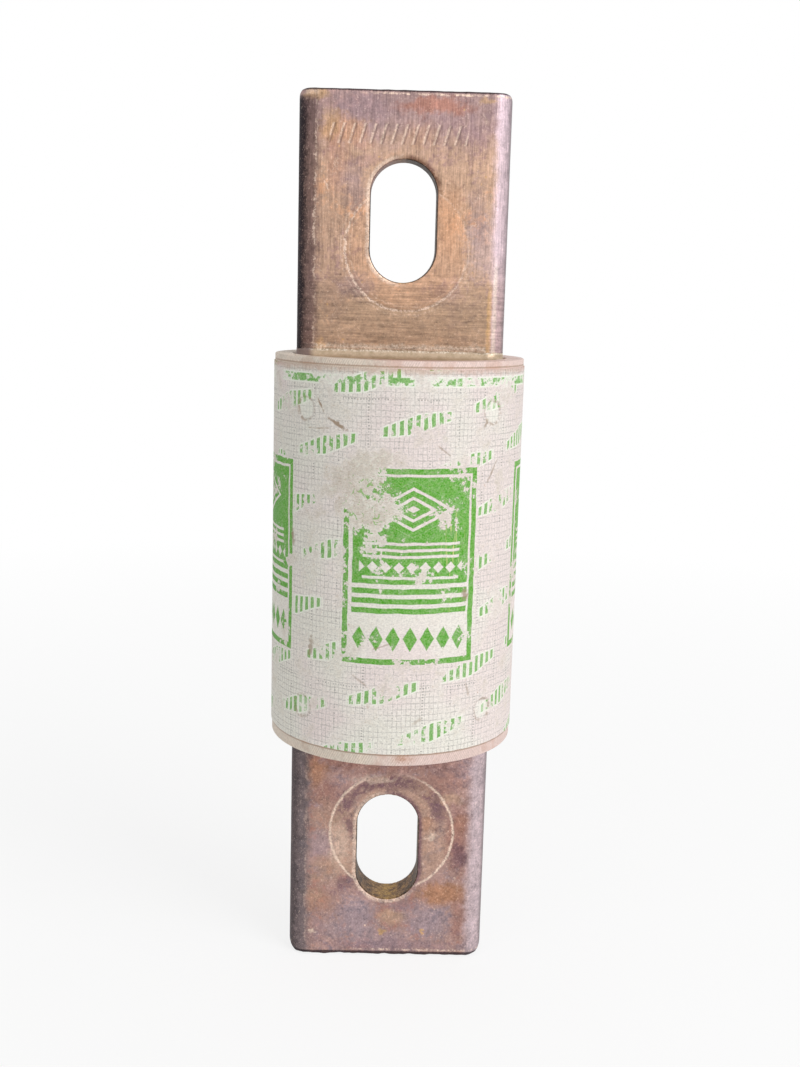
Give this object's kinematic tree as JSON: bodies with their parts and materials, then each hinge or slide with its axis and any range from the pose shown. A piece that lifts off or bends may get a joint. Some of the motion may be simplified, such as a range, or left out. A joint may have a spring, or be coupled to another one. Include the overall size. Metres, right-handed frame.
{
  "type": "current-limiting fuse",
  "caption": "Cylindrical sand-filled current-limiting fuse with a slotted bolt-on copper blade at each end.",
  "frame": {"origin": "middle of the barrel, which is also the middle of the whole fuse's bounding box", "axes": "+Z along the fuse towards the upper blade, +Y out of the back faces of both blades along the bolts, -Y towards the picture's camera"},
  "size_m": [0.0616, 0.0614, 0.219],
  "materials": {
    "barrel_tube": "satin glass-cloth and melamine laminate, cream",
    "label_paper": "worn off-white wrap with green print, coated",
    "blade_copper": "drawn copper bar, tarnished brown, tan and violet",
    "bell_copper": "turned copper, dull",
    "braze_alloy": "silver braze, dull",
    "pin_steel": "plain steel drive pin",
    "link_copper": "rolled copper strip, bright",
    "bead_tin": "cast tin, dull silver",
    "quartz_sand": "compacted quartz grains",
    "plug_steel": "plain steel plug"
  },
  "bodies": {
    "root": {"barrel": "barrel_tube", "printed_label": "label_paper", "upper_blade": "blade_copper", "upper_end_bell": "bell_copper", "upper_braze_fillets": "braze_alloy", "upper_drive_pins": "pin_steel", "lower_blade": "blade_copper", "lower_end_bell": "bell_copper", "lower_braze_fillets": "braze_alloy", "lower_drive_pins": "pin_steel", "sand_filler": "quartz_sand", "fill_plug": "plug_steel", "fuse_link_1": "link_copper", "fuse_link_2": "link_copper", "fuse_link_3": "link_copper", "fuse_link_4": "link_copper", "fuse_link_5": "link_copper", "fuse_link_6": "link_copper", "fuse_link_7": "link_copper", "fuse_link_8": "link_copper", "overload_bead_1": "bead_tin", "overload_bead_2": "bead_tin", "overload_bead_3": "bead_tin", "overload_bead_4": "bead_tin", "overload_bead_5": "bead_tin", "overload_bead_6": "bead_tin", "overload_bead_7": "bead_tin", "overload_bead_8": "bead_tin"}
  },
  "joints": []
}
